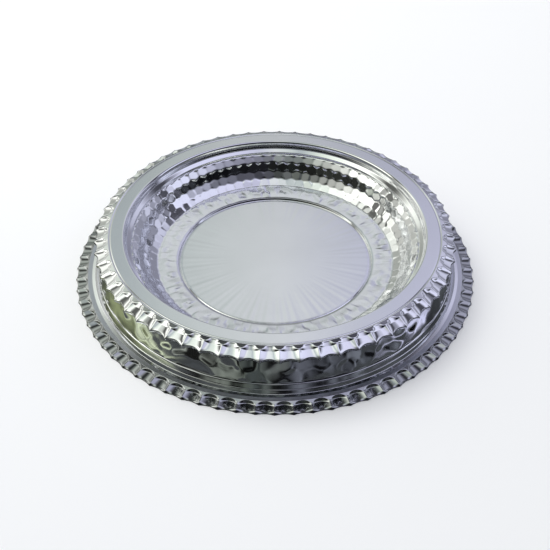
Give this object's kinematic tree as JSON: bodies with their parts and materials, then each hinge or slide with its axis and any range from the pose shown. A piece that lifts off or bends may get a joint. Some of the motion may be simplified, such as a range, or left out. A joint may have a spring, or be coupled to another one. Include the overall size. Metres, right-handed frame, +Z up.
{
  "type": "serving dish",
  "caption": "Round plated serving dish with a hammered well and a fluted border, seated loose in a low hammered stand with a matching fluted foot.",
  "frame": {"origin": "centre of the stand on the table it rests on", "axes": "+Z up along the axis of the dish; +X to the right and -Y towards the viewer of the picture"},
  "size_m": [0.269, 0.2692, 0.0334],
  "materials": {
    "dish_sheet": "polished, hammered",
    "dish_mount": "polished, fluted",
    "stand_sheet": "polished, hammered",
    "stand_mount": "polished, fluted"
  },
  "bodies": {
    "stand": {"stand_wall": "stand_sheet", "stand_border": "stand_mount"},
    "dish": {"dish_pan": "dish_sheet", "dish_border": "dish_mount"}
  },
  "joints": [
    {"name": "dish_lift", "type": "slide", "parent": "stand", "child": "dish", "axis": [0, 0, 1], "range_m": [0, 0.08]}
  ]
}
